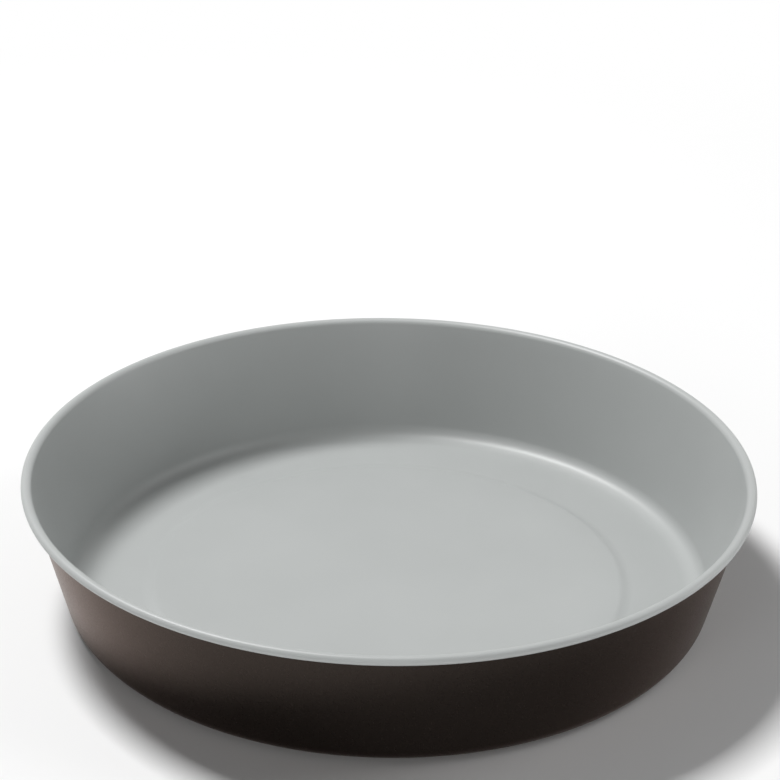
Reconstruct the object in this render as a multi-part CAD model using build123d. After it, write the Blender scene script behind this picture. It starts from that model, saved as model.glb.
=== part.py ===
from build123d import *
from math import acos, asin, atan, atan2, cos, degrees, hypot, radians, sin, tan
import os

# A round tapered cake tin pressed from one coated steel sheet.
# Millimetres, +Z up. The origin is the centre of the base, on the plane that the tin stands on.
# The sheet is drawn as one path, the surface that holds the food, from the centre of the floor
# out to the free edge of the rolled rim. Each layer lies between two depths below that surface.

# Driving dimensions
rim_diameter = 280.0
overall_height = 52.2
base_diameter = 249.2

# Sheet and its two coats
steel_thickness = 0.5
inner_coat_thickness = 0.12
outer_coat_thickness = 0.12

# Floor: a raised centre panel, measured at the steepest place of its step down to the ring that
# stands on the table, and the widths of the step's rounded shoulder and of its hollow toe
panel_diameter = 186.0
panel_rise = 0.6
shoulder_width = 2.2
toe_width = 3.8

# Corner: a gentle sweep that lifts the edge of the floor, then a tighter bend into the wall
sweep_radius = 14.0
sweep_width = 5.2
corner_radius = 6.5

# Rolled rim: a flare that turns the wall out to level, then a tighter curl, given by its outside
# diameter, and the gap that its free edge leaves to the flare
flare_radius = 2.6
curl_diameter = 3.1
curl_gap = 0.3

# Depths of the layers below the food side
steel_top = inner_coat_thickness
steel_bottom = steel_top + steel_thickness
sheet_thickness = steel_bottom + outer_coat_thickness

# Directions along the path, in degrees from level and outward
LEVEL = 0
SQUARE = 90
FULL_TURN = 360


class Bend:
    """A round stretch of the path. A positive turn is to the left, with its centre on the food side."""

    def __init__(self, centre, radius, heading, turn):
        self.centre = centre
        self.radius = radius
        self.heading = heading
        self.turn = turn

    def arc(self, depth):
        if self.turn > 0:
            return CenterArc(self.centre, self.radius + depth, self.heading - SQUARE, self.turn)
        return CenterArc(self.centre, self.radius - depth, self.heading + SQUARE, self.turn)


def panel_step():
    """The shoulder and the toe of the panel's step: two bends that meet where it is steepest."""
    slope = degrees(2 * atan(panel_rise / (shoulder_width + toe_width)))
    shoulder_radius = shoulder_width / sin(radians(slope))
    toe_radius = toe_width / sin(radians(slope))
    edge = panel_diameter / 2
    panel_top = sheet_thickness + panel_rise
    shoulder = Bend((edge - shoulder_width, panel_top - shoulder_radius), shoulder_radius, LEVEL, -slope)
    toe = Bend((edge + toe_width, sheet_thickness + toe_radius), toe_radius, -slope, slope)
    return [shoulder, toe]


def rolled_rim():
    """The wall's heading, and the bends of the rim that it runs into: the flare and the curl's two halves.

    The wall's underside points from the edge of the base, where it would meet the table, along the
    tangent of the flare's underside.
    """
    curl_radius = curl_diameter / 2
    curl_centre = (rim_diameter / 2 - curl_radius, overall_height - curl_radius)
    flare_centre = (curl_centre[0], overall_height - flare_radius)
    underside = flare_radius - sheet_thickness
    across = flare_centre[0] - base_diameter / 2
    to_centre = hypot(across, flare_centre[1])
    heading = degrees(atan2(flare_centre[1], across) + asin(underside / to_centre))
    apart = flare_radius - curl_radius
    reach = underside - curl_gap
    opening = degrees(acos((reach**2 - apart**2 - curl_radius**2) / (2 * apart * curl_radius)))
    half_turn = (FULL_TURN - opening) / 2
    flare = Bend(flare_centre, flare_radius, heading, LEVEL - heading)
    over = Bend(curl_centre, curl_radius, LEVEL, -half_turn)
    under = Bend(curl_centre, curl_radius, -half_turn, -half_turn)
    return heading, [flare, over, under]


def corner(heading):
    """The two bends from the floor up to the wall: the sweep, and the tighter one after it."""
    swept = asin(sweep_width / sweep_radius)
    steep = radians(heading)
    gentle = sweep_radius + sheet_thickness
    tight = corner_radius + sheet_thickness
    across = gentle * sin(swept) + tight * (sin(steep) - sin(swept))
    up = gentle - (gentle - tight) * cos(swept) - tight * cos(steep)
    start = base_diameter / 2 + up / tan(steep) - across
    tight_centre = (start + (gentle - tight) * sin(swept), gentle - (gentle - tight) * cos(swept))
    sweep = Bend((start, gentle), sweep_radius, LEVEL, degrees(swept))
    bend = Bend(tight_centre, corner_radius, degrees(swept), heading - degrees(swept))
    return [sweep, bend]


def surface(depth, to_free_edge):
    """The path at a depth below the food side, as edges, with its two ends.

    It ends at the free edge of the curl, or else at the end of the flare, inside the curl.
    """
    wall_heading, rim = rolled_rim()
    if not to_free_edge:
        rim = rim[:1]
    start = Vector(0, sheet_thickness + panel_rise - depth)
    reached = start
    edges = []
    for bends in (panel_step(), corner(wall_heading), rim):
        arcs = [bend.arc(depth) for bend in bends]
        edges.append(Line(reached, arcs[0] @ 0))
        edges.extend(arcs)
        reached = arcs[-1] @ 1
    return edges, start, reached


def layer(near, far, to_free_edge=True):
    """One closed layer of the sheet between two depths, turned about the tin's axis."""
    near_edges, near_start, near_end = surface(near, to_free_edge)
    far_edges, far_start, far_end = surface(far, to_free_edge)
    closing = [Line(near_start, far_start), Line(near_end, far_end)]
    section = make_face(near_edges + far_edges + closing)
    return revolve(Plane.XZ * section, Axis.Z)


# The grey coat goes over the rim with the steel. The brown one ends inside the curl, out of sight.
parts = {
    "inner_coating": layer(0, steel_top),
    "pressed_steel_body": layer(steel_top, steel_bottom),
    "outer_coating": layer(steel_bottom, sheet_thickness, to_free_edge=False),
}

os.makedirs("parts", exist_ok=True)
for node, solid in parts.items():
    export_step(solid, f"parts/{node}.step")
    print(node, round(solid.volume), "cubic millimetres")
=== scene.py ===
from math import acos, asin, atan, atan2, cos, hypot, pi, radians, sin, tan

import bpy
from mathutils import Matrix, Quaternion, Vector


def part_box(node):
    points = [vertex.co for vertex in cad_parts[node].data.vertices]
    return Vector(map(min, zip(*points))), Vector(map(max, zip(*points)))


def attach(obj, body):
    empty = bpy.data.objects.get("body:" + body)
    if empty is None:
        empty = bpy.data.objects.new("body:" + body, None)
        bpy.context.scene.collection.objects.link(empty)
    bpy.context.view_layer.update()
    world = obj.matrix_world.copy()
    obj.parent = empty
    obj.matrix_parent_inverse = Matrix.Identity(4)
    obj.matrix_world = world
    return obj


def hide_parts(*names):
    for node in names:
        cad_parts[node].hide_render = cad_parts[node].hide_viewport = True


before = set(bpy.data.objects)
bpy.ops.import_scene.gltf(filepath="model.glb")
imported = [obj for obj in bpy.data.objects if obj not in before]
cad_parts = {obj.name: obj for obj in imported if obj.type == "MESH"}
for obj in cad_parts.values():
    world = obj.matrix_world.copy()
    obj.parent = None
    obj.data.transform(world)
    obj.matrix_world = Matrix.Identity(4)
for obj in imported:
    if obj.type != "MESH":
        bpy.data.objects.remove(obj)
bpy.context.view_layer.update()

# A round cake tin pressed from one coated steel sheet, in metres. Its axis is Z and it stands on z = 0.
# The rim and the height come from the frame, and the other sizes are the tin's own.
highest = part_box("inner_coating")[1]
rim_radius = highest.x
overall_height = highest.z
base_radius = 0.1246

# Sheet and its two coats
steel_thickness = 0.0005
coat_thickness = 0.00012

# Floor: a raised centre panel, and the widths of its step's rounded shoulder and hollow toe. The panel
# rises 0.2 mm more than it does in the solids, so that the step is shaded as in the photograph.
panel_radius = 0.093
panel_rise = 0.0008
shoulder_width = 0.0022
toe_width = 0.0038

# Corner: a gentle sweep that lifts the edge of the floor, then a tighter bend into the wall
sweep_radius = 0.014
sweep_width = 0.0052
corner_radius = 0.0065

# Rolled rim: a flare that turns the wall out to level, then a tighter curl, and the gap that its free
# edge leaves to the flare
flare_radius = 0.0026
curl_radius = 0.00155
curl_gap = 0.0003

# Depths of the layers below the food side
steel_top = coat_thickness
steel_bottom = steel_top + steel_thickness
sheet_thickness = steel_bottom + coat_thickness

# Fineness of the turned meshes, and the angle from which an edge is shaded sharp
AROUND = 360
FLAT_STEP = 0.006
ARC_STEP = radians(6)
LEAST_ARC_STEPS = 8
SHARP_FROM = radians(40)

# The part of a noise factor's range that a finish spreads over its two values
NOISE_LOW = 0.3
NOISE_HIGH = 0.7

# The floor's half side, its paint, and the distances from its centre between which it fades to white
FLOOR_REACH = 12.0
FLOOR_BRIGHTNESS = 0.9
FLOOR_ROUGHNESS = 0.9
FADE_START = 0.3
FADE_END = 0.8

# Strength of the white surroundings: as a light, and where they are seen
WORLD_LIGHT = 0.1
PLAIN_WHITE = 1.0

# The camera of the photograph, turned so that the tin's origin shows at this pixel of the square frame.
# The sensor and the lens are in millimetres.
FRAME_SIDE = 780
ORIGIN_PIXEL = (387.7, 577.2)
SENSOR_WIDTH = 36.0
FOCAL_LENGTH = 91.99
CAMERA_DISTANCE = 0.793
CAMERA_ELEVATION = radians(30.62)
CAMERA_ROLL = radians(0.84)


class Bend:
    """A round stretch of the section. A positive turn is to the left, with its centre on the food side."""

    def __init__(self, centre, radius, heading, turn):
        self.centre = centre
        self.radius = radius
        self.heading = heading
        self.turn = turn

    def points(self, depth):
        """The points along the bend at a depth below the food side."""
        side = 1 if self.turn > 0 else -1
        radius = self.radius + side * depth
        first = self.heading - side * pi / 2
        steps = max(LEAST_ARC_STEPS, round(abs(self.turn) / ARC_STEP))
        angles = [first + self.turn * i / steps for i in range(steps + 1)]
        return [(self.centre[0] + radius * cos(a), self.centre[1] + radius * sin(a)) for a in angles]


def panel_step():
    """The shoulder and the toe of the panel's step: two bends that meet where it is steepest."""
    slope = 2 * atan(panel_rise / (shoulder_width + toe_width))
    shoulder_radius = shoulder_width / sin(slope)
    toe_radius = toe_width / sin(slope)
    panel_top = sheet_thickness + panel_rise
    shoulder_centre = (panel_radius - shoulder_width, panel_top - shoulder_radius)
    toe_centre = (panel_radius + toe_width, sheet_thickness + toe_radius)
    shoulder = Bend(shoulder_centre, shoulder_radius, 0, -slope)
    toe = Bend(toe_centre, toe_radius, -slope, slope)
    return [shoulder, toe]


def rolled_rim():
    """The wall's heading, and the two bends of the rim that it runs into: the flare and the curl.

    The wall's underside runs from the base's edge along the tangent of the flare's underside.
    """
    curl_centre = (rim_radius - curl_radius, overall_height - curl_radius)
    flare_centre = (curl_centre[0], overall_height - flare_radius)
    underside = flare_radius - sheet_thickness
    across = flare_centre[0] - base_radius
    heading = atan2(flare_centre[1], across) + asin(underside / hypot(across, flare_centre[1]))
    apart = flare_radius - curl_radius
    reach = underside - curl_gap
    opening = acos((reach**2 - apart**2 - curl_radius**2) / (2 * apart * curl_radius))
    flare = Bend(flare_centre, flare_radius, heading, -heading)
    curl = Bend(curl_centre, curl_radius, 0, opening - 2 * pi)
    return heading, [flare, curl]


def rounded_corner(heading):
    """The two bends from the floor up to the wall: the sweep, and the tighter one after it."""
    swept = asin(sweep_width / sweep_radius)
    gentle = sweep_radius + sheet_thickness
    tight = corner_radius + sheet_thickness
    across = gentle * sin(swept) + tight * (sin(heading) - sin(swept))
    up = gentle - (gentle - tight) * cos(swept) - tight * cos(heading)
    start = base_radius + up / tan(heading) - across
    tight_centre = (start + (gentle - tight) * sin(swept), gentle - (gentle - tight) * cos(swept))
    sweep = Bend((start, gentle), sweep_radius, 0, swept)
    bend = Bend(tight_centre, corner_radius, swept, heading - swept)
    return [sweep, bend]


def straight(start, end):
    """The points between two ends of a straight run, without the ends."""
    along = end[0] - start[0]
    up = end[1] - start[1]
    steps = max(1, round(hypot(along, up) / FLAT_STEP))
    return [(start[0] + along * i / steps, start[1] + up * i / steps) for i in range(1, steps)]


def surface(depth, to_free_edge):
    """The section at a depth below the food side, from the axis to the free edge or the flare's end."""
    wall_heading, rim = rolled_rim()
    if not to_free_edge:
        rim = rim[:1]
    points = [(0.0, sheet_thickness + panel_rise - depth)]
    for bends in (panel_step(), rounded_corner(wall_heading), rim):
        first, *others = [bend.points(depth) for bend in bends]
        points += straight(points[-1], first[0]) + first
        for other in others:
            points += other[1:]
    return points


def placed(name, data):
    """A new object in the scene that holds a mesh, a lamp or a camera."""
    thing = bpy.data.objects.new(name, data)
    bpy.context.scene.collection.objects.link(thing)
    return thing


def turned_layer(name, near, far, to_free_edge=True):
    """One closed layer of the sheet between two depths, turned about Z."""
    section = surface(near, to_free_edge) + surface(far, to_free_edge)[::-1]
    verts = [(0.0, 0.0, section[0][1]), (0.0, 0.0, section[-1][1])]
    rings = []
    for radius, height in section[1:-1]:
        rings.append(len(verts))
        for i in range(AROUND):
            angle = 2 * pi * i / AROUND
            verts.append((radius * cos(angle), radius * sin(angle), height))
    faces = []
    for i in range(AROUND):
        j = (i + 1) % AROUND
        faces.append((0, rings[0] + i, rings[0] + j))
        for lower, upper in zip(rings, rings[1:]):
            faces.append((lower + i, upper + i, upper + j, lower + j))
        faces.append((rings[-1] + i, 1, rings[-1] + j))
    mesh = bpy.data.meshes.new(name)
    mesh.from_pydata(verts, [], faces)
    mesh.validate()
    mesh.shade_smooth()
    mesh.set_sharp_from_angle(angle=SHARP_FROM)
    return placed(name, mesh)


class Finish:
    """A material made of nodes. Its patterns follow the piece's own coordinates."""

    def __init__(self, name):
        self.material = bpy.data.materials.new(name)
        self.material.use_nodes = True
        self.tree = self.material.node_tree
        self.shader = self.tree.nodes["Principled BSDF"]
        self.where = self.tree.nodes.new("ShaderNodeTexCoord").outputs["Object"]

    def set(self, socket, value):
        self.shader.inputs[socket].default_value = value

    def noise(self, cells_per_metre):
        """The factor of a noise pattern."""
        texture = self.tree.nodes.new("ShaderNodeTexNoise")
        texture.inputs["Scale"].default_value = cells_per_metre
        self.tree.links.new(self.where, texture.inputs["Vector"])
        return texture.outputs["Fac"]

    def spread(self, factor, low, high):
        """A noise factor as a value that varies between two others."""
        mapped = self.tree.nodes.new("ShaderNodeMapRange")
        mapped.inputs["From Min"].default_value = NOISE_LOW
        mapped.inputs["From Max"].default_value = NOISE_HIGH
        mapped.inputs["To Min"].default_value = low
        mapped.inputs["To Max"].default_value = high
        self.tree.links.new(factor, mapped.inputs["Value"])
        return mapped.outputs["Result"]

    def colour(self, factor, dark, light):
        """Varies the colour between two others by a noise factor."""
        mix = self.tree.nodes.new("ShaderNodeMix")
        mix.data_type = "RGBA"
        mix.inputs["A"].default_value = (*dark, 1)
        mix.inputs["B"].default_value = (*light, 1)
        self.tree.links.new(self.spread(factor, 0.0, 1.0), mix.inputs["Factor"])
        self.tree.links.new(mix.outputs["Result"], self.shader.inputs["Base Color"])

    def roughness(self, factor, low, high):
        """Varies the roughness between two values by a noise factor."""
        self.tree.links.new(self.spread(factor, low, high), self.shader.inputs["Roughness"])

    def relief(self, factor, distance, strength):
        """Gives the surface the fine relief of a noise factor."""
        bump = self.tree.nodes.new("ShaderNodeBump")
        bump.inputs["Distance"].default_value = distance
        bump.inputs["Strength"].default_value = strength
        self.tree.links.new(factor, bump.inputs["Height"])
        self.tree.links.new(bump.outputs["Normal"], self.shader.inputs["Normal"])


def grey_non_stick():
    """The satin grey lacquer inside the tin: fine orange peel, faint flecks and cloudiness."""
    finish = Finish("grey_non_stick")
    clouds = finish.noise(cells_per_metre=18.0)
    flecks = finish.noise(cells_per_metre=2200.0)
    peel = finish.noise(cells_per_metre=700.0)
    finish.colour(clouds, dark=(0.405, 0.42, 0.415), light=(0.425, 0.44, 0.435))
    finish.roughness(flecks, low=0.40, high=0.48)
    finish.relief(peel, distance=0.00004, strength=0.25)
    return finish.material


def dark_brown_coat():
    """The dark brown lacquer outside the tin, satin with a fine grain."""
    finish = Finish("dark_brown_coat")
    clouds = finish.noise(cells_per_metre=14.0)
    grain = finish.noise(cells_per_metre=1600.0)
    finish.colour(clouds, dark=(0.040, 0.032, 0.0275), light=(0.046, 0.037, 0.032))
    finish.set("Metallic", 1.0)
    finish.set("Specular Tint", (0.98, 0.88, 0.84, 1))
    finish.roughness(grain, low=0.26, high=0.34)
    finish.relief(grain, distance=0.00003, strength=0.2)
    return finish.material


def bare_steel():
    """The cut edge and the hidden core of the sheet: rolled steel with a fine grain."""
    finish = Finish("rolled_steel")
    grain = finish.noise(cells_per_metre=900.0)
    finish.colour(grain, dark=(0.50, 0.49, 0.48), light=(0.60, 0.59, 0.58))
    finish.set("Metallic", 1.0)
    finish.roughness(grain, low=0.30, high=0.42)
    return finish.material


def dress(piece, material, node):
    """Gives a layer its finish and lets it stand for a node."""
    piece.data.materials.append(material)
    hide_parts(node)
    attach(piece, "root")


def tin():
    """The three layers. The brown one ends with the flare, inside the curl."""
    grey = turned_layer("grey_non_stick_inside", 0.0, steel_top)
    dress(grey, grey_non_stick(), "inner_coating")
    core = turned_layer("rolled_steel_core", steel_top, steel_bottom)
    dress(core, bare_steel(), "pressed_steel_body")
    brown = turned_layer("brown_lacquer_outside", steel_bottom, sheet_thickness, to_free_edge=False)
    dress(brown, dark_brown_coat(), "outer_coating")


def worked_out(tree, operation, first, second):
    """The result of a Math node for two outputs of other nodes."""
    node = tree.nodes.new("ShaderNodeMath")
    node.operation = operation
    tree.links.new(first, node.inputs[0])
    tree.links.new(second, node.inputs[1])
    return node.outputs["Value"]


def seen_directly(tree):
    """1 for camera, glossy and transmission rays, and 0 for the rays that light things."""
    ray = tree.nodes.new("ShaderNodeLightPath").outputs
    camera_or_glossy = worked_out(tree, "MAXIMUM", ray["Is Camera Ray"], ray["Is Glossy Ray"])
    return worked_out(tree, "MAXIMUM", camera_or_glossy, ray["Is Transmission Ray"])


def floor_paint():
    """Matt pale paint near the tin. Further out it fades to plain white where it is seen."""
    finish = Finish("floor_white")
    finish.set("Base Color", (FLOOR_BRIGHTNESS, FLOOR_BRIGHTNESS, FLOOR_BRIGHTNESS, 1))
    finish.set("Roughness", FLOOR_ROUGHNESS)
    finish.set("Specular IOR Level", 0.0)
    tree = finish.tree
    from_centre = tree.nodes.new("ShaderNodeVectorMath")
    from_centre.operation = "LENGTH"
    tree.links.new(finish.where, from_centre.inputs[0])
    fade = tree.nodes.new("ShaderNodeMapRange")
    fade.interpolation_type = "SMOOTHSTEP"
    fade.inputs["From Min"].default_value = FADE_START
    fade.inputs["From Max"].default_value = FADE_END
    tree.links.new(from_centre.outputs["Value"], fade.inputs["Value"])
    white = tree.nodes.new("ShaderNodeEmission")
    white.inputs["Color"].default_value = (1, 1, 1, 1)
    white.inputs["Strength"].default_value = PLAIN_WHITE
    share = worked_out(tree, "MULTIPLY", fade.outputs["Result"], seen_directly(tree))
    blend = tree.nodes.new("ShaderNodeMixShader")
    tree.links.new(share, blend.inputs["Fac"])
    tree.links.new(finish.shader.outputs["BSDF"], blend.inputs[1])
    tree.links.new(white.outputs["Emission"], blend.inputs[2])
    tree.links.new(blend.outputs["Shader"], tree.nodes["Material Output"].inputs["Surface"])
    return finish.material


def white_floor():
    """A plain floor under the tin, which keeps the tin's shadow."""
    mesh = bpy.data.meshes.new("floor")
    corners = [(-FLOOR_REACH, -FLOOR_REACH, 0), (FLOOR_REACH, -FLOOR_REACH, 0),
               (FLOOR_REACH, FLOOR_REACH, 0), (-FLOOR_REACH, FLOOR_REACH, 0)]
    mesh.from_pydata(corners, [], [(0, 1, 2, 3)])
    mesh.materials.append(floor_paint())
    placed("floor", mesh)


def white_world():
    """White surroundings where they are seen, with little light of their own."""
    world = bpy.data.worlds.new("studio")
    bpy.context.scene.world = world
    world.use_nodes = True
    tree = world.node_tree
    background = tree.nodes["Background"]
    background.inputs["Color"].default_value = (1, 1, 1, 1)
    strength = tree.nodes.new("ShaderNodeMapRange")
    strength.inputs["To Min"].default_value = WORLD_LIGHT
    strength.inputs["To Max"].default_value = PLAIN_WHITE
    tree.links.new(seen_directly(tree), strength.inputs["Value"])
    tree.links.new(strength.outputs["Result"], background.inputs["Strength"])


def softbox(name, azimuth, elevation, distance, side, power):
    """A square lamp that faces the tin, placed by angles in degrees, with its power in watts."""
    light = bpy.data.lights.new(name, "AREA")
    light.size = side
    light.energy = power
    lamp = placed(name, light)
    around, up = radians(azimuth), radians(elevation)
    place = Vector((cos(up) * cos(around), cos(up) * sin(around), sin(up))) * distance
    lamp.location = place
    lamp.rotation_mode = "QUATERNION"
    lamp.rotation_quaternion = place.to_track_quat("Z", "Y")
    lamp.visible_camera = False


def lights():
    """The key lamp behind on the left, and weak fills in front and on the right."""
    softbox("key_back_left", azimuth=139, elevation=62.5, distance=2.6, side=0.65, power=66)
    softbox("fill_front", azimuth=270, elevation=7.5, distance=1.6, side=0.42, power=5.3)
    softbox("fill_front_left", azimuth=240, elevation=25, distance=1.6, side=0.5, power=1.6)
    softbox("fill_right", azimuth=8, elevation=7.5, distance=1.6, side=0.42, power=4.9)
    softbox("fill_right_high", azimuth=0, elevation=45, distance=1.6, side=0.6, power=3.0)


def photograph_camera():
    """A camera at the viewing angle of the photograph."""
    data = bpy.data.cameras.new("camera")
    data.sensor_width = SENSOR_WIDTH
    data.lens = FOCAL_LENGTH
    camera = placed("camera", data)
    back = Vector((0, -cos(CAMERA_ELEVATION), sin(CAMERA_ELEVATION)))
    facing = back.to_track_quat("Z", "Y") @ Quaternion((0, 0, 1), CAMERA_ROLL)
    pixels = FOCAL_LENGTH / SENSOR_WIDTH * FRAME_SIDE
    middle = FRAME_SIDE / 2
    to_origin = Vector((ORIGIN_PIXEL[0] - middle, middle - ORIGIN_PIXEL[1], -pixels))
    turn = to_origin.rotation_difference(Vector((0, 0, -1)))
    camera.location = back * CAMERA_DISTANCE
    camera.rotation_mode = "QUATERNION"
    camera.rotation_quaternion = facing @ turn
    bpy.context.scene.camera = camera


tin()
white_floor()
white_world()
lights()
photograph_camera()
bpy.context.scene.view_settings.view_transform = "Standard"
